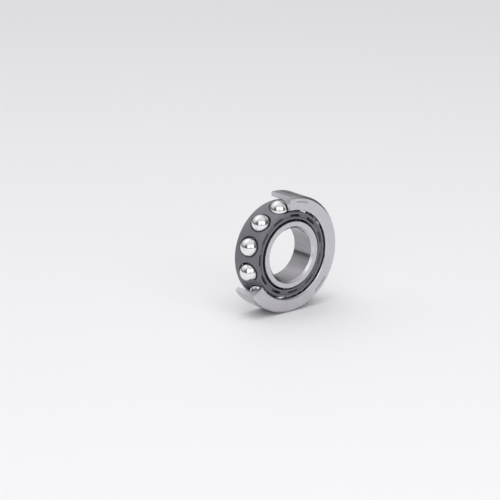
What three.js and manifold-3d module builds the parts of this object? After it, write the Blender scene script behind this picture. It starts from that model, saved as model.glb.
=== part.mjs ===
// Single row angular contact ball bearing, 50 x 110 x 27 mm, made as a cutaway: part of the outer
// ring is sawn out so that the balls and the moulded cage show. Four kinds of piece: an outer
// ring, an inner ring, a window cage and eleven balls.
//
// Millimetres. The bearing's axis is Y and +Z is up. The wide face of the outer ring, called the
// front here, looks towards -Y. The origin is on the axis, half-way between the two faces.
// Angles go anticlockwise from +X, as seen from the front.

import * as THREE from "three";
import { mergeVertices } from "three/addons/utils/BufferGeometryUtils.js";
import Module from "manifold-3d";

const wasm = await Module();
wasm.setup();
const rad = THREE.MathUtils.degToRad;

// Boundary dimensions
const BORE_R = 25;
const OUTER_R = 55;
const FACE_Y = 27 / 2;
const WIDE_CHAMFER = 2;
const THIN_CHAMFER = 1;
const EDGE_BREAK = 0.5;

// Ball set
const BALL_COUNT = 11;
const BALL_R = 17.4625 / 2;
const PITCH_R = 41.6;
const BALL_Y = -1;
const FIRST_BALL_ANGLE = 97.7;
const CONTACT_ANGLE = 40;

// Raceways: the same groove in both rings, with a high shoulder on one side. The other side of
// the groove ends in a low lip, over which the balls are snapped in.
const RACE_GAP = 0.3;
const GROOVE_R = BALL_R + RACE_GAP;
const OUTER_SHOULDER_R = 41.7;
const OUTER_LIP_R = 50.4;
const INNER_SHOULDER_R = 40.2;
const INNER_LIP_ANGLE = 7;
const INNER_LAND_R = 31.5;
const INNER_LAND_Y = -10;

// Window cut out of the outer ring
const CUT_FROM = 92.5;
const CUT_TO = 215.5;

// Cage: a front ring with two ridges, a conical body with a pocket per ball, and a back rim.
// Between each two balls the moulding is cored out from the front, between the ridges.
const CAGE_FRONT_Y = -12.4;
const CAGE_GROOVE_Y = -10.9;
const CAGE_CONE_Y = -8.6;
const CAGE_BACK_Y = 11.8;
const INNER_RIDGE_R = [33.4, 35.3];
const OUTER_RIDGE_R = [38, 39.9];
const RIM_R = [42.4, 46.8];
const RIM_FRONT_Y = [9.2, 8.6];
const POCKET_GAP = 0.9;
const CAGE_LAG_ANGLE = 0.6;
const CORE_R = [35.6, 37.5];
const CORE_BOTTOM_Y = -6;
const CORE_ANGLE = 17;

// Facets
const RING_SEGMENTS = 66;
const GROOVE_STEPS = 9;
const BALL_SEGMENTS = 16;
const BALL_ROWS = 10;
const POCKET_SEGMENTS = 18;
const POCKET_ROWS = 12;
const SECTOR_STEPS = 2;

const STEEL = { color: 0xb9b4bc, roughness: 0.32, metalness: 1 };
const POLISHED_STEEL = { color: 0xe4e4e8, roughness: 0.05, metalness: 1 };
const MOULDED_PLASTIC = { color: 0x6e6c74, roughness: 0.5, metalness: 0 };

function toSolid(geometry) {
  const bare = geometry.index ? geometry.clone() : geometry;
  bare.deleteAttribute("normal");
  bare.deleteAttribute("uv");
  const merged = mergeVertices(bare, 1e-3);
  const mesh = new wasm.Mesh({
    numProp: 3,
    vertProperties: new Float32Array(merged.attributes.position.array),
    triVerts: new Uint32Array(merged.index.array),
  });
  return new wasm.Manifold(mesh);
}

function toGeometry(solid) {
  const { vertProperties, triVerts } = solid.getMesh();
  const geometry = new THREE.BufferGeometry();
  geometry.setAttribute("position", new THREE.BufferAttribute(vertProperties, 3));
  geometry.setIndex(new THREE.BufferAttribute(triVerts, 1));
  geometry.computeVertexNormals();
  return geometry;
}

// A ring turned about Y from a closed outline of [radius, y] points.
function turned(outline) {
  const points = [...outline, outline[0]].map(([r, y]) => new THREE.Vector2(r, y));
  return new THREE.LatheGeometry(points, RING_SEGMENTS);
}

// Points of the ball groove between two angles, measured in the ring's section from the outward
// radial direction towards +Y.
function groove(from, to) {
  const points = [];
  for (let i = 0; i <= GROOVE_STEPS; i += 1) {
    const angle = from + ((to - from) * i) / GROOVE_STEPS;
    points.push([PITCH_R + GROOVE_R * Math.cos(angle), BALL_Y + GROOVE_R * Math.sin(angle)]);
  }
  return points;
}

// The section angle at which the groove reaches a given radius.
function grooveAngleAt(radius) {
  return Math.acos((radius - PITCH_R) / GROOVE_R);
}

// A prism along Y over part of a ring, between two radii and two angles in degrees.
function sector([innerR, outerR], [fromY, toY], [from, to]) {
  const shape = new THREE.Shape();
  shape.absarc(0, 0, outerR, rad(from), rad(to), false);
  shape.absarc(0, 0, innerR, rad(to), rad(from), true);
  const options = { depth: toY - fromY, bevelEnabled: false, curveSegments: SECTOR_STEPS };
  const prism = new THREE.ExtrudeGeometry(shape, options);
  prism.rotateX(Math.PI / 2);
  prism.translate(0, toY, 0);
  return prism;
}

// Where ball number i sits, in degrees.
function ballAngle(i) {
  return FIRST_BALL_ANGLE + (360 * i) / BALL_COUNT;
}

function outward(angle) {
  return new THREE.Vector3(Math.cos(rad(angle)), 0, Math.sin(rad(angle)));
}

function pitchPoint(angle) {
  return outward(angle).multiplyScalar(PITCH_R).setY(BALL_Y);
}

function outerRing() {
  const outline = [
    [OUTER_SHOULDER_R + EDGE_BREAK, -FACE_Y],
    [OUTER_R - WIDE_CHAMFER, -FACE_Y],
    [OUTER_R, -FACE_Y + WIDE_CHAMFER],
    [OUTER_R, FACE_Y - THIN_CHAMFER],
    [OUTER_R - THIN_CHAMFER, FACE_Y],
    [OUTER_LIP_R + EDGE_BREAK, FACE_Y],
    [OUTER_LIP_R, FACE_Y - EDGE_BREAK],
    ...groove(grooveAngleAt(OUTER_LIP_R), -grooveAngleAt(OUTER_SHOULDER_R)),
    [OUTER_SHOULDER_R, -FACE_Y + EDGE_BREAK],
  ];
  const window = sector([PITCH_R / 2, 2 * OUTER_R], [-2 * FACE_Y, 2 * FACE_Y], [CUT_FROM, CUT_TO]);
  return toGeometry(toSolid(turned(outline)).subtract(toSolid(window)));
}

function innerRing() {
  const outline = [
    [BORE_R + WIDE_CHAMFER, -FACE_Y],
    [INNER_LAND_R - EDGE_BREAK, -FACE_Y],
    [INNER_LAND_R, -FACE_Y + EDGE_BREAK],
    [INNER_LAND_R, INNER_LAND_Y],
    ...groove(-Math.PI + rad(INNER_LIP_ANGLE), -2 * Math.PI + grooveAngleAt(INNER_SHOULDER_R)),
    [INNER_SHOULDER_R, FACE_Y - EDGE_BREAK],
    [INNER_SHOULDER_R - EDGE_BREAK, FACE_Y],
    [BORE_R + WIDE_CHAMFER, FACE_Y],
    [BORE_R, FACE_Y - WIDE_CHAMFER],
    [BORE_R, -FACE_Y + WIDE_CHAMFER],
  ];
  return toGeometry(toSolid(turned(outline)));
}

// Each ball rests against one side of its pocket, so the cage is turned back by a small angle.
function cage() {
  const outline = [
    [INNER_RIDGE_R[0], CAGE_FRONT_Y],
    [INNER_RIDGE_R[1], CAGE_FRONT_Y],
    [INNER_RIDGE_R[1], CAGE_GROOVE_Y],
    [OUTER_RIDGE_R[0], CAGE_GROOVE_Y],
    [OUTER_RIDGE_R[0], CAGE_FRONT_Y],
    [OUTER_RIDGE_R[1], CAGE_FRONT_Y],
    [RIM_R[1], RIM_FRONT_Y[1]],
    [RIM_R[1], CAGE_BACK_Y],
    [RIM_R[0], CAGE_BACK_Y],
    [RIM_R[0], RIM_FRONT_Y[0]],
    [INNER_RIDGE_R[0], CAGE_CONE_Y],
  ];
  let body = toSolid(turned(outline));
  for (let i = 0; i < BALL_COUNT; i += 1) {
    const angle = ballAngle(i) - CAGE_LAG_ANGLE;
    const pocket = new THREE.SphereGeometry(BALL_R + POCKET_GAP, POCKET_SEGMENTS, POCKET_ROWS);
    pocket.rotateY(-rad(angle));
    pocket.translate(...pitchPoint(angle));
    const middle = angle + 180 / BALL_COUNT;
    const coreAngles = [middle - CORE_ANGLE / 2, middle + CORE_ANGLE / 2];
    const core = sector(CORE_R, [2 * CAGE_FRONT_Y, CORE_BOTTOM_Y], coreAngles);
    body = body.subtract(toSolid(pocket)).subtract(toSolid(core));
  }
  return toGeometry(body);
}

function mesh(name, geometry, finish) {
  const piece = new THREE.Mesh(geometry, new THREE.MeshStandardMaterial(finish));
  piece.name = name;
  return piece;
}

// A ball's poles lie on the axis it spins about, which is square to the contact line.
function ball(i) {
  const sphere = new THREE.SphereGeometry(BALL_R, BALL_SEGMENTS, BALL_ROWS);
  const piece = mesh(`ball_${String(i + 1).padStart(2, "0")}`, sphere, POLISHED_STEEL);
  const tilt = rad(CONTACT_ANGLE);
  const spinAxis = outward(ballAngle(i)).multiplyScalar(Math.sin(tilt)).setY(Math.cos(tilt));
  piece.position.copy(pitchPoint(ballAngle(i)));
  piece.quaternion.setFromUnitVectors(new THREE.Vector3(0, 1, 0), spinAxis);
  return piece;
}

const bearing = new THREE.Group();
bearing.add(mesh("outer_ring", outerRing(), STEEL));
bearing.add(mesh("inner_ring", innerRing(), STEEL));
bearing.add(mesh("cage", cage(), MOULDED_PLASTIC));
for (let i = 0; i < BALL_COUNT; i += 1) {
  bearing.add(ball(i));
}

export default bearing;
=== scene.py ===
# Angular contact ball bearing, 50 x 110 x 27 mm, cut away so that the balls and the cage show.
# The axis is Y, the wide face of the outer ring looks towards -Y, and +Z is up. Angles go
# anticlockwise from +X as seen from the front, and sections are drawn as radius and y.

import math

import bmesh
import bpy
import numpy as np
from mathutils import Matrix, Vector


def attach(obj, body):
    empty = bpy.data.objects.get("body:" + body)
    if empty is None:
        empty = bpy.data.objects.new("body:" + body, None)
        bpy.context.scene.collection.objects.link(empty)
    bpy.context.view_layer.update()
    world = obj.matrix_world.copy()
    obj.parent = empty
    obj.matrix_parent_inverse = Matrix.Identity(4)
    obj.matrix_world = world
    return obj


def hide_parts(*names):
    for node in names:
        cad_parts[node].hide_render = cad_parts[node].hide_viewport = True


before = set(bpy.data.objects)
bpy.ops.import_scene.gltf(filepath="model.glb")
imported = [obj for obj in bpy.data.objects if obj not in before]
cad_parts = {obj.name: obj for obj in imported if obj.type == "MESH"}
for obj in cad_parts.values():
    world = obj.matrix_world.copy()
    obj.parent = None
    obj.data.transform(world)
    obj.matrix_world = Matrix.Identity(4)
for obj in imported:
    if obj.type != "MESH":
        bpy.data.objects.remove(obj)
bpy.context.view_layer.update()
MM = 0.001


# ---------------------------------------------------------------- outer ring
# Through-hardened bearing steel, turned, then ground on the faces and outside, with the ball
# groove honed. A high shoulder stands at the front, and the back is relieved to a thin wall.
# For display, about a third of it is sawn out and both cuts are milled flat.

OUTER_R = 55 * MM
FACE_Y = 13.5 * MM
WIDE_CHAMFER = 2 * MM
THIN_CHAMFER = 1 * MM
BALL_R = 17.4625 / 2 * MM
PITCH_R = 41.6 * MM
BALL_Y = -1 * MM
GROOVE_R = BALL_R + 0.08 * MM
OUTER_SHOULDER_R = 41.7 * MM
OUTER_LIP_R = 50.2 * MM
CUT_FROM = math.radians(92.5)
CUT_TO = math.radians(215.5)
CUT_BREAK = 0.15 * MM
EDGE_FILLET = 0.4 * MM
SHOULDER_FILLET = 1.6 * MM
RING_STEP = math.radians(1.2)
ARC_STEP_DEGREES = 15
GUARD = 0.05 * MM

STEEL = (0.625, 0.606, 0.645)
CUT_STEEL = (0.58, 0.565, 0.605)
# Painted shade: the outside gets a darker copy of the ring steel.
SHADED_OUTSIDE_STEEL = (0.49, 0.475, 0.507)
ETCHED_STEEL = (0.10, 0.097, 0.106)
LINE_SLANT = 1.37
SCRATCHES_AROUND = 5
CLOUD_SCALE = 90
# Painted reflection streaks along the bore: how many lie around it and how long they are.
REFLECTION_STREAKS_AROUND = 11
REFLECTION_STREAK_LENGTH = 70 * MM
ETCH_STRENGTH = 0.85
ETCH_REACH = 0.1 * MM
ETCHED_ROWS = [
    (68, 84, 49.8 * MM, 1.5 * MM, 1.0 * MM),
    (-54, -35, 50.0 * MM, 1.9 * MM, 1.6 * MM),
]


class Value:
    """A shader socket that takes part in Python expressions, each operator adding a Math node."""

    def __init__(self, nodes, socket):
        self.nodes = nodes
        self.socket = socket

    def __add__(self, other):
        return self.nodes.math("ADD", self, other)

    def __sub__(self, other):
        return self.nodes.math("SUBTRACT", self, other)

    def __rsub__(self, other):
        return self.nodes.math("SUBTRACT", other, self)

    def __mul__(self, other):
        return self.nodes.math("MULTIPLY", self, other)

    def __truediv__(self, other):
        return self.nodes.math("DIVIDE", self, other)

    def __rtruediv__(self, other):
        return self.nodes.math("DIVIDE", other, self)

    def __pow__(self, other):
        return self.nodes.math("POWER", self, other)

    def __rpow__(self, other):
        return self.nodes.math("POWER", other, self)

    def __abs__(self):
        return self.nodes.math("ABSOLUTE", self)

    def __lt__(self, other):
        return self.nodes.math("LESS_THAN", self, other)

    def __gt__(self, other):
        return self.nodes.math("GREATER_THAN", self, other)

    __radd__ = __add__
    __rmul__ = __mul__


class Nodes:
    """A shader's node tree, and the one way in which nodes are added to it."""

    def __init__(self, tree):
        self.tree = tree

    def connect(self, socket, value):
        if isinstance(value, Value):
            self.tree.links.new(value.socket, socket)
        else:
            socket.default_value = value

    def node(self, kind, settings, sockets, output=0):
        node = self.tree.nodes.new(kind)
        for name, value in settings.items():
            setattr(node, name, value)
        for name, value in sockets.items():
            self.connect(node.inputs[name], value)
        return Value(self, node.outputs[output])

    def math(self, operation, *values):
        return self.node("ShaderNodeMath", {"operation": operation}, dict(enumerate(values)))


class Finish(Nodes):
    """A surface finish: one Principled shader and the nodes that vary it over the surface."""

    def __init__(self, name, color, roughness, metallic=0.0):
        self.data = bpy.data.materials.new(name)
        self.data.use_nodes = True
        super().__init__(self.data.node_tree)
        self.shader = self.tree.nodes["Principled BSDF"]
        self.set(base_color=(*color, 1), roughness=roughness, metallic=metallic)

    def set(self, **sockets):
        for name, value in sockets.items():
            self.connect(self.shader.inputs[name.replace("_", " ").title()], value)

    def mix(self, amount, first, second):
        first, second = ((*c, 1) if isinstance(c, tuple) else c for c in (first, second))
        sockets = {0: amount, 6: first, 7: second}
        return self.node("ShaderNodeMix", {"data_type": "RGBA"}, sockets, 2)

    def vector(self, x, y, z):
        return self.node("ShaderNodeCombineXYZ", {}, {0: x, 1: y, 2: z})

    def noise(self, vector, scale=1.0, detail=2.0, roughness=0.5):
        sockets = {"Vector": vector, "Scale": scale, "Detail": detail, "Roughness": roughness}
        return self.node("ShaderNodeTexNoise", {}, sockets)

    def bump(self, height, depth):
        sockets = {"Height": height, "Distance": depth, "Strength": 1.0}
        return self.node("ShaderNodeBump", {}, sockets)

    def place(self):
        """The point's own place in the bearing's frame, in metres: a vector, then x, y and z."""
        whole = self.node("ShaderNodeTexCoord", {}, {}, 3)
        parts = self.node("ShaderNodeSeparateXYZ", {}, {0: whole}).socket.node.outputs
        return whole, *(Value(self, part) for part in parts)


def ground_steel(name, color, roughness, line=0.22 * MM, depth=8e-7, reflection_streaks=0.0, etched=()):
    """Steel ground or turned about the axis: fine rings of scratches, and faint cloudy patches.

    Reflection streaks are painted reflections: light and dark bands along a bore that stand in for
    the room mirrored in it.
    Each etched row is a run of plain strokes on the front face: its first and last angle in
    degrees, its middle radius, the height of a stroke and the step between strokes.
    """
    steel = Finish(name, color, roughness, 1.0)
    whole, x, y, z = steel.place()
    radius = (x * x + z * z) ** 0.5
    across = (radius + y * LINE_SLANT) / line
    ring = steel.vector(across, x / radius * SCRATCHES_AROUND, z / radius * SCRATCHES_AROUND)
    scratches = steel.noise(ring, detail=4, roughness=0.7)
    clouds = steel.noise(whole, scale=CLOUD_SCALE, detail=3)
    amount = (scratches - 0.5) * 0.5 + (clouds - 0.5) * 0.8 + 0.5
    # Painted reflection: lengthwise light and dark bands that stand in for the room mirrored in the
    # bore.
    if reflection_streaks:
        right, up = x / radius * REFLECTION_STREAKS_AROUND, z / radius * REFLECTION_STREAKS_AROUND
        lengthways = steel.vector(right, y / REFLECTION_STREAK_LENGTH, up)
        amount = amount + (steel.noise(lengthways, detail=4, roughness=0.6) - 0.5) * reflection_streaks
    darker = tuple(c * 0.85 for c in color)
    lighter = tuple(min(1, c * 1.15) for c in color)
    shade = steel.mix(amount, darker, lighter)
    rough = roughness + (scratches - 0.5) * 0.12 + (clouds - 0.5) * 0.16
    angle = steel.math("ARCTAN2", z, x) if etched else None
    for first, last, middle, height, step in etched:
        count = (angle - math.radians(first)) * (middle / step)
        number = steel.math("FLOOR", count)
        along = (count > 0) * (count < math.radians(last - first) * middle / step)
        stroke = abs(count - number - 0.5) < 0.25
        tall = abs(radius - middle) < height / 2
        etch = along * stroke * tall * (y < -FACE_Y + ETCH_REACH)
        shade = steel.mix(etch * ETCH_STRENGTH, shade, ETCHED_STEEL)
        rough = rough + etch * 0.2
    steel.set(base_color=shade, roughness=rough)
    steel.set(normal=steel.bump(scratches, depth))
    return steel


def fillet(corners):
    """Section points from (radius, y, fillet radius, finish) corners, each fillet as an arc.

    A corner's finish covers the stretch from it to the next corner. A guard point just past each
    end of an arc keeps the flats beside it flat in the shading.
    """
    points = []
    for i, (r, y, size, finish) in enumerate(corners):
        before = Vector(corners[i - 1][:2])
        here = Vector((r, y))
        after = Vector(corners[(i + 1) % len(corners)][:2])
        if not size:
            points.append((r, y, finish))
            continue
        back = (before - here).normalized()
        ahead = (after - here).normalized()
        half = back.angle(ahead) / 2
        tangent = size / math.tan(half)
        centre = here + (back + ahead).normalized() * (size / math.sin(half))
        first = here + back * tangent - centre
        sweep = first.angle_signed(here + ahead * tangent - centre)
        steps = max(2, round(math.degrees(abs(sweep)) / ARC_STEP_DEGREES))
        earlier = corners[i - 1][3]
        points.append((*(here + back * (tangent + GUARD)), earlier))
        for k in range(steps + 1):
            spoke = first.copy()
            spoke.rotate(Matrix.Rotation(-sweep * k / steps, 2))
            points.append((*(centre + spoke), earlier if k < steps / 2 else finish))
        points.append((*(here + ahead * (tangent + GUARD)), finish))
    return points


def groove(start, stop, finish, steps=64):
    """Corners along the ball groove between two angles in the section, from outwards towards +Y."""
    angles = np.linspace(start, stop, steps + 1)
    return [
        (PITCH_R + GROOVE_R * math.cos(a), BALL_Y + GROOVE_R * math.sin(a), 0, finish)
        for a in angles
    ]


def groove_angle(radius):
    return math.acos((radius - PITCH_R) / GROOVE_R)


def shrunk(points, distance):
    """The section's points moved in by a distance, square to its sides."""
    flat = np.array([p[:2] for p in points])
    ahead = np.roll(flat, -1, axis=0) - flat
    ahead /= np.linalg.norm(ahead, axis=1)[:, None]
    side = ahead + np.roll(ahead, 1, axis=0)
    side /= np.linalg.norm(side, axis=1)[:, None]
    area = np.sum(flat[:, 0] * np.roll(flat[:, 1], -1) - np.roll(flat[:, 0], -1) * flat[:, 1])
    inward = np.stack([-side[:, 1], side[:, 0]], axis=1) * np.sign(area)
    return flat + inward * distance


def polar(r, y, angle):
    return (r * math.cos(angle), y, r * math.sin(angle))


def show(name, mesh, finishes, body, slot, *nodes):
    """Puts a finished mesh in the scene as a piece that rides a body and stands for CAD nodes."""
    for finish in finishes:
        mesh.materials.append(finish.data)
    piece = bpy.data.objects.new(name, mesh)
    bpy.context.scene.collection.objects.link(piece)
    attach(piece, body)
    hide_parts(*nodes)
    return piece


def smooth(mesh, sharp_angle=35):
    mesh.shade_smooth()
    mesh.set_sharp_from_angle(angle=math.radians(sharp_angle))
    return mesh


def turned(name, points, finishes, start=0.0, stop=math.tau):
    """Sweeps a closed section about the axis, with flat, slightly broken ends if not all round."""
    whole = stop - start > math.tau - 1e-6
    steps = round((stop - start) / RING_STEP)
    section = np.array([p[:2] for p in points])
    if whole:
        rings = [(section, start + (stop - start) * k / steps) for k in range(steps)]
    else:
        inner = shrunk(points, CUT_BREAK)
        lap = CUT_BREAK / OUTER_R
        middle = np.linspace(start + lap, stop - lap, steps)
        rings = [(inner, start), *((section, a) for a in middle), (inner, stop)]
    mesh = bmesh.new()
    loops = [[mesh.verts.new(polar(r, y, a)) for r, y in flat] for flat, a in rings]
    names = list(finishes)
    size = len(points)
    for k in range(len(loops) if whole else len(loops) - 1):
        this, following = loops[k], loops[(k + 1) % len(loops)]
        for i, (_, _, finish) in enumerate(points):
            j = (i + 1) % size
            face = mesh.faces.new((this[i], this[j], following[j], following[i]))
            face.material_index = names.index(finish)
    if not whole:
        for loop in (loops[0], loops[-1]):
            mesh.faces.new(loop).material_index = names.index("cut")
    bmesh.ops.recalc_face_normals(mesh, faces=mesh.faces)
    data = bpy.data.meshes.new(name)
    mesh.to_mesh(data)
    mesh.free()
    return smooth(data)


outer_section = fillet([
    (OUTER_SHOULDER_R, -FACE_Y, SHOULDER_FILLET, "face"),
    (OUTER_R - WIDE_CHAMFER, -FACE_Y, EDGE_FILLET, "chamfer"),
    (OUTER_R, -FACE_Y + WIDE_CHAMFER, EDGE_FILLET, "outside"),
    (OUTER_R, FACE_Y - THIN_CHAMFER, EDGE_FILLET, "chamfer"),
    (OUTER_R - THIN_CHAMFER, FACE_Y, EDGE_FILLET, "face"),
    (OUTER_LIP_R, FACE_Y, EDGE_FILLET, "land"),
    *groove(groove_angle(OUTER_LIP_R), -groove_angle(OUTER_SHOULDER_R), "raceway"),
])

outer_finishes = {
    "face": ground_steel("outer_ring_face", STEEL, 0.30, etched=ETCHED_ROWS),
    "chamfer": ground_steel("outer_ring_chamfer", STEEL, 0.26, line=0.3 * MM),
    # Painted shade: the outside's steel is darkened.
    "outside": ground_steel("outer_ring_outside_shaded", SHADED_OUTSIDE_STEEL, 0.24),
    "land": ground_steel("outer_ring_land", STEEL, 0.34, line=0.4 * MM),
    "raceway": ground_steel("outer_ring_raceway", STEEL, 0.10, depth=4e-7),
    "cut": ground_steel("outer_ring_cut", CUT_STEEL, 0.36, line=0.3 * MM),
}
outer_sweep = (CUT_TO, CUT_FROM + math.tau)
outer_mesh = turned("outer_ring_turned", outer_section, outer_finishes, *outer_sweep)
outer_steel = outer_finishes.values()
show("outer_ring_body", outer_mesh, outer_steel, "outer_ring", "outer_ring", "outer_ring")


# ---------------------------------------------------------------- inner ring
# The same steel. The front is turned down to a low land that ends in a slight lip at the ball
# groove, and the back keeps a high shoulder. The bore is ground, with a chamfer at each end.

BORE_R = 25 * MM
INNER_LAND_R = 31.5 * MM
INNER_LAND_Y = -10 * MM
INNER_LIP_ANGLE = math.radians(7)
INNER_SHOULDER_R = 40.2 * MM
# Painted shade: the bore's steel is a darker copy of the ring steel, for the shade inside the bore.
SHADED_BORE_STEEL = (0.33, 0.32, 0.343)

inner_section = fillet([
    (BORE_R + WIDE_CHAMFER, -FACE_Y, EDGE_FILLET, "face"),
    (INNER_LAND_R, -FACE_Y, EDGE_FILLET, "land"),
    (INNER_LAND_R, INNER_LAND_Y, 2 * EDGE_FILLET, "land"),
    *groove(INNER_LIP_ANGLE - math.pi, groove_angle(INNER_SHOULDER_R) - math.tau, "raceway"),
    (INNER_SHOULDER_R, FACE_Y, EDGE_FILLET, "face"),
    (BORE_R + WIDE_CHAMFER, FACE_Y, EDGE_FILLET, "chamfer"),
    (BORE_R, FACE_Y - WIDE_CHAMFER, EDGE_FILLET, "bore"),
    (BORE_R, -FACE_Y + WIDE_CHAMFER, EDGE_FILLET, "chamfer"),
])
inner_finishes = {
    "face": ground_steel("inner_ring_face", STEEL, 0.30),
    "chamfer": ground_steel("inner_ring_chamfer", STEEL, 0.26, line=0.3 * MM),
    # Painted shade and painted reflections: darker bore steel with reflection streaks.
    "bore": ground_steel("inner_ring_bore_painted_shade_and_reflections", SHADED_BORE_STEEL, 0.15, reflection_streaks=1.8),
    "land": ground_steel("inner_ring_land", STEEL, 0.34, line=0.4 * MM),
    "raceway": ground_steel("inner_ring_raceway", STEEL, 0.10, depth=4e-7),
}
inner_mesh = turned("inner_ring_turned", inner_section, inner_finishes)
inner_steel = inner_finishes.values()
show("inner_ring_body", inner_mesh, inner_steel, "inner_ring", "inner_ring", "inner_ring")


# ---------------------------------------------------------------- balls
# Eleven bearing steel balls, ground and lapped to a mirror. They stand at equal steps around
# the axis, each held in its own pocket of the cage.

BALL_COUNT = 11
FIRST_BALL = math.radians(97.7)
BALL_STEP = math.tau / BALL_COUNT
BALL_SUBDIVISIONS = 5
POLISHED = (0.86, 0.86, 0.875)
POLISHED_ROUGHNESS = 0.02
HAZE_SCALE = 260

lapped = Finish("lapped_steel", POLISHED, POLISHED_ROUGHNESS, 1.0)
ball_place = lapped.place()[0]
haze = lapped.noise(ball_place, scale=HAZE_SCALE, detail=4, roughness=0.6)
lapped.set(roughness=POLISHED_ROUGHNESS + haze * 0.05)

for i in range(BALL_COUNT):
    name = f"ball_{i + 1:02d}"
    centre = Vector(polar(PITCH_R, BALL_Y, FIRST_BALL + BALL_STEP * i))
    there = Matrix.Translation(centre)
    mesh = bmesh.new()
    bmesh.ops.create_icosphere(mesh, subdivisions=BALL_SUBDIVISIONS, radius=BALL_R, matrix=there)
    data = bpy.data.meshes.new(name)
    mesh.to_mesh(data)
    mesh.free()
    data.shade_smooth()
    show(f"{name}_lapped", data, [lapped], name, "balls", name)


# ---------------------------------------------------------------- cage
# One injection moulding of dark grey, glass filled polyamide. A front ring with two ridges
# carries a conical body with a round pocket for each ball and a plain rim at the back. A small
# neck runs round behind the outer ridge, and the ring is cored out between each two balls.

CAGE_FRONT_Y = -12.4 * MM
CAGE_BACK_Y = 11.8 * MM
INNER_RIDGE_R = (33.4 * MM, 35.3 * MM)
OUTER_RIDGE_R = (38 * MM, 39.9 * MM)
RIDGE_HEIGHT = 1.5 * MM
NECK = (40.4 * MM, -11.1 * MM)
NECK_R = 0.6 * MM
INNER_CONE = ((33.4 * MM, -8.6 * MM), (42.4 * MM, 9.2 * MM))
RIM_R = (42.4 * MM, 46.8 * MM)
RIM_FRONT_Y = 8.6 * MM
POCKET_R = BALL_R + 0.85 * MM
CAGE_LAG = math.radians(0.6)
CORE_R = (35.6 * MM, 37.5 * MM)
CORE_BOTTOM_Y = -6 * MM
CORE_ANGLE = math.radians(17)
CAGE_BLEND = 0.45 * MM
# The core-outs open into the pockets through a very thin slit. With other cells the net can
# pinch there, so a change to this value calls for a look at the edges of the mesh.
CAGE_CELL = 0.38 * MM
PLASTIC = (0.165, 0.161, 0.188)
PLASTIC_DARK = (0.138, 0.135, 0.157)
PLASTIC_PALE = (0.192, 0.188, 0.219)
PLASTIC_ROUGHNESS = 0.26
GRAIN_SCALE = 2600
FIBRE_SCALE = 420
FLOW_SCALE = 60
GRAIN_DEPTH = 1.2e-5


def both(a, b, blend=CAGE_BLEND):
    """Distance to the space inside both shapes, with the edge between them rounded."""
    overlap = np.maximum(blend - np.abs(a - b), 0)
    return np.maximum(a, b) + overlap * overlap / (4 * blend)


def either(a, b, blend=CAGE_BLEND):
    return -both(-a, -b, blend)


def slab(value, low, high):
    return both(low - value, value - high)


def right_of(r, y, start, stop):
    """Signed distance from the line between two section points, below zero on its left."""
    along = np.subtract(stop, start)
    along = along / np.linalg.norm(along)
    return (r - start[0]) * along[1] - (y - start[1]) * along[0]


def cage_distance(r, y, angle):
    """Signed distance to the cage's surface over one pocket's share of the ring."""
    cone = right_of(r, y, (OUTER_RIDGE_R[1], CAGE_FRONT_Y), (RIM_R[1], RIM_FRONT_Y))
    outside = both(cone, r - RIM_R[1], 2 * CAGE_BLEND)
    hollow = both(either(right_of(r, y, *INNER_CONE), r - INNER_RIDGE_R[0]), r - RIM_R[0])
    body = both(both(outside, -hollow), slab(y, CAGE_FRONT_Y, CAGE_BACK_Y))
    furrow = both(slab(r, INNER_RIDGE_R[1], OUTER_RIDGE_R[0]), y - CAGE_FRONT_Y - RIDGE_HEIGHT)
    across = (np.abs(np.abs(angle) - BALL_STEP / 2) - CORE_ANGLE / 2) * r
    core = both(both(slab(r, *CORE_R), y - CORE_BOTTOM_Y), across)
    aside = r * np.sin(angle)
    reach = r * np.cos(angle) - PITCH_R
    pocket = np.sqrt(aside**2 + reach**2 + (y - BALL_Y) ** 2) - POCKET_R
    neck = np.hypot(r - NECK[0], y - NECK[1]) - NECK_R
    return both(both(both(both(body, -furrow), -neck), -core), -pocket)


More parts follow.
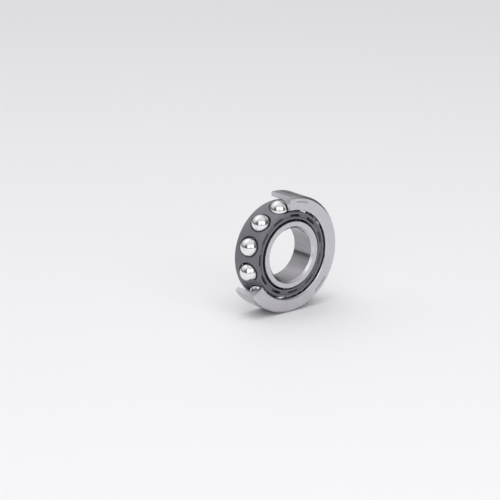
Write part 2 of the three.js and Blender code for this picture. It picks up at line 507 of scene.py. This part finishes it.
def net(distance, steps_around, radii, heights):
    """Surface of a distance field on a polar grid that repeats around the axis.

    Each grid cell that the surface crosses gets one vertex, at the middle of the crossings on
    its edges, and each grid edge that it crosses gets one face of the four cells around it.
    """
    angles = np.arange(steps_around) * BALL_STEP / steps_around - BALL_STEP / 2
    grid = np.stack(np.meshgrid(angles, radii, heights, indexing="ij"), axis=-1)
    field = distance(grid[..., 1], grid[..., 2], grid[..., 0])
    field = np.concatenate([field, field[:1]])
    last = grid[:1] + (BALL_STEP, 0, 0)
    grid = np.concatenate([grid, last])
    total = 0
    count = 0
    corner = [slice(None, -1), slice(1, None)]
    for axis in range(3):
        for u in (0, 1):
            for v in (0, 1):
                ends = []
                for end in (0, 1):
                    pick = [corner[u], corner[v]]
                    pick.insert(axis, corner[end])
                    ends.append(tuple(pick))
                fa, fb = field[ends[0]], field[ends[1]]
                crossed = (fa < 0) != (fb < 0)
                share = np.where(crossed, fa / np.where(crossed, fa - fb, 1), 0)[..., None]
                point = grid[ends[0]] * (1 - share) + grid[ends[1]] * share
                total = total + np.where(crossed[..., None], point, 0)
                count = count + crossed
    used = count > 0
    number = np.full(used.shape, -1)
    number[used] = np.arange(used.sum())
    points = total[used] / count[used][:, None]
    size = len(points)
    all_points = []
    for k in range(BALL_COUNT):
        turned_by = points[:, 0] + FIRST_BALL - CAGE_LAG + BALL_STEP * k
        place = (points[:, 1] * np.cos(turned_by), points[:, 2], points[:, 1] * np.sin(turned_by))
        all_points.append(np.stack(place, axis=1))
    around = np.concatenate([number, np.where(number[:1] >= 0, number[:1] + size, -1)])
    around = np.concatenate([np.where(number[-1:] >= 0, number[-1:] - size, -2 * size), around])
    faces = []
    inside = field < 0
    for axis in range(3):
        here = [slice(0, -1)] * 3
        there = [slice(0, -1)] * 3
        here[axis], there[axis] = slice(0, -1), slice(1, None)
        for other in range(3):
            if other != axis and other > 0:
                here[other] = there[other] = slice(1, -1)
        start, end = inside[tuple(here)], inside[tuple(there)]
        for flip in (False, True):
            where = np.argwhere((start & ~end) if not flip else (~start & end))
            offset = [0 if (a == axis or a == 0) else 1 for a in range(3)]
            where = where + offset
            u, v = [a for a in range(3) if a != axis]
            ring = []
            for du, dv in ((-1, -1), (0, -1), (0, 0), (-1, 0)):
                cell = where.copy()
                cell[:, u] += du
                cell[:, v] += dv
                ring.append(around[cell[:, 0] + 1, cell[:, 1], cell[:, 2]])
            if flip:
                ring.reverse()
            faces.append(np.stack(ring, axis=1))
    faces = np.concatenate(faces)
    all_faces = [(faces + size * k) % (size * BALL_COUNT) for k in range(BALL_COUNT)]
    return np.concatenate(all_points), np.concatenate(all_faces)


radii = np.arange(INNER_RIDGE_R[0] - 2 * CAGE_CELL, RIM_R[1] + 2 * CAGE_CELL, CAGE_CELL)
heights = np.arange(CAGE_FRONT_Y - 2 * CAGE_CELL, CAGE_BACK_Y + 2 * CAGE_CELL, CAGE_CELL)
cage_steps = round(BALL_STEP * PITCH_R / CAGE_CELL)
cage_points, cage_faces = net(cage_distance, cage_steps, radii, heights)
cage_mesh = bpy.data.meshes.new("cage_moulding")
cage_mesh.from_pydata(cage_points.tolist(), [], cage_faces.tolist())
outward = bmesh.new()
outward.from_mesh(cage_mesh)
bmesh.ops.recalc_face_normals(outward, faces=outward.faces)
outward.to_mesh(cage_mesh)
outward.free()
cage_mesh.shade_smooth()

moulded = Finish("moulded_polyamide", PLASTIC, PLASTIC_ROUGHNESS)
cage_place = moulded.place()[0]
grain = moulded.noise(cage_place, scale=GRAIN_SCALE, detail=2, roughness=0.6)
fibre = moulded.noise(cage_place, scale=FIBRE_SCALE, detail=4, roughness=0.65)
flow = moulded.noise(cage_place, scale=FLOW_SCALE, detail=2)
shade = (flow - 0.5) * 0.7 + (fibre - 0.5) * 0.5 + 0.5
moulded.set(base_color=moulded.mix(shade, PLASTIC_DARK, PLASTIC_PALE))
moulded.set(roughness=PLASTIC_ROUGHNESS + (fibre - 0.5) * 0.14)
moulded.set(normal=moulded.bump(grain * 0.5 + fibre, GRAIN_DEPTH))
show("cage_moulding", cage_mesh, [moulded], "cage", "cage", "cage")


# ---------------------------------------------------------------- studio
# A pale floor, two window-shaped softboxes in front of the bearing, a soft glow overhead and a
# light backdrop behind it. The rest of the room is dark, so the polished balls show contrast,
# and a last softbox overhead lights the floor without showing in polished steel.

FLOOR = (0.87, 0.87, 0.88)
FLOOR_RADIUS = 3.0
FLOOR_SIDES = 64
FLOOR_ROUGHNESS = 0.55

floor_finish = Finish("studio_floor", FLOOR, FLOOR_ROUGHNESS)
floor_mesh = bpy.data.meshes.new("studio_floor")
floor_edge = [polar(FLOOR_RADIUS, 0, math.tau * k / FLOOR_SIDES) for k in range(FLOOR_SIDES)]
floor_mesh.from_pydata([(x, z, -OUTER_R) for x, _, z in floor_edge], [], [range(FLOOR_SIDES)])
floor_mesh.materials.append(floor_finish.data)
floor = bpy.data.objects.new("studio_floor", floor_mesh)
bpy.context.scene.collection.objects.link(floor)


def direction(azimuth, elevation):
    """Unit vector out from the bearing. Azimuth 0 is in front of it and 90 to its right."""
    a, e = math.radians(azimuth), math.radians(elevation)
    return Vector((math.sin(a) * math.cos(e), -math.cos(a) * math.cos(e), math.sin(e)))


def softbox(name, azimuth, elevation, distance, width, height, radiance):
    """A rectangular light aimed at the bearing."""
    out = direction(azimuth, elevation)
    light = bpy.data.lights.new(name, "AREA")
    light.shape = "RECTANGLE"
    light.size = width
    light.size_y = height
    light.energy = radiance * math.pi * width * height
    lamp = bpy.data.objects.new(name, light)
    lamp.location = out * distance
    lamp.rotation_euler = out.to_track_quat("Z", "Y").to_euler()
    lamp.visible_camera = False
    bpy.context.scene.collection.objects.link(lamp)
    return lamp


window = {"elevation": 25, "distance": 3.2, "height": 2.3, "radiance": 1.15}
softbox("softbox_window_left", azimuth=-50, width=2.1, **window)
softbox("softbox_window_right", azimuth=-5, width=2.3, **window)
overhead = {"distance": 2.2, "width": 2.0, "height": 2.0, "radiance": 1.45}
softbox("softbox_overhead", azimuth=-40, elevation=80, **overhead).visible_glossy = False

world = bpy.data.worlds.new("studio_room")
world.use_nodes = True
bpy.context.scene.world = world
room = Nodes(world.node_tree)
facing = room.node("ShaderNodeTexCoord", {}, {}, 0)


def glow(azimuth, elevation, edge, core):
    """How far a direction lies inside a soft round patch of light, from 0 at its edge to 1."""
    sockets = {0: facing, 1: direction(azimuth, elevation)}
    near = room.node("ShaderNodeVectorMath", {"operation": "DOT_PRODUCT"}, sockets, 1)
    limits = {
        "Value": near,
        "From Min": math.cos(math.radians(edge)),
        "From Max": math.cos(math.radians(core)),
    }
    return room.node("ShaderNodeMapRange", {"interpolation_type": "SMOOTHSTEP"}, limits)


ROOM_DARK = 0.14
ROOM_PALE = 0.84
ROOM_COLOR = (0.985, 0.985, 1, 1)
CEILING_LIGHT = 0.68
BACKDROP_LIGHT = 0.58
above_horizon = glow(azimuth=0, elevation=90, edge=88, core=70)
ceiling = glow(azimuth=-40, elevation=88, edge=70, core=5) * CEILING_LIGHT
backdrop = glow(azimuth=188, elevation=15, edge=75, core=30) * above_horizon * BACKDROP_LIGHT
light = ROOM_DARK + ceiling + backdrop
seen = room.node("ShaderNodeLightPath", {}, {}, 0)
background = world.node_tree.nodes["Background"]
background.inputs["Color"].default_value = ROOM_COLOR
room.connect(background.inputs["Strength"], light * (1 - seen) + seen * ROOM_PALE)

bpy.context.scene.view_settings.view_transform = "Standard"

# The view is from the front left and above, with a long lens.
LENS = 213.5
SENSOR_WIDTH = 36
VIEW_AZIMUTH = math.radians(-40.93)
VIEW_ELEVATION = math.radians(17.47)
VIEW_DISTANCE = 49.41 * OUTER_R
HEADING = math.radians(40.28)
DIP = math.radians(17.45)
ROLL = 0.0103

camera = bpy.data.cameras.new("camera")
camera.lens = LENS
camera.sensor_width = SENSOR_WIDTH
viewer = bpy.data.objects.new("camera", camera)
flat = VIEW_DISTANCE * math.cos(VIEW_ELEVATION)
viewer.location = (
    flat * math.sin(VIEW_AZIMUTH),
    -flat * math.cos(VIEW_AZIMUTH),
    VIEW_DISTANCE * math.sin(VIEW_ELEVATION),
)
aim = Vector((
    math.sin(HEADING) * math.cos(DIP),
    math.cos(HEADING) * math.cos(DIP),
    -math.sin(DIP),
))
turn = aim.to_track_quat("-Z", "Y").to_matrix() @ Matrix.Rotation(ROLL, 3, "Z")
viewer.rotation_euler = turn.to_euler()
bpy.context.scene.collection.objects.link(viewer)
bpy.context.scene.camera = viewer
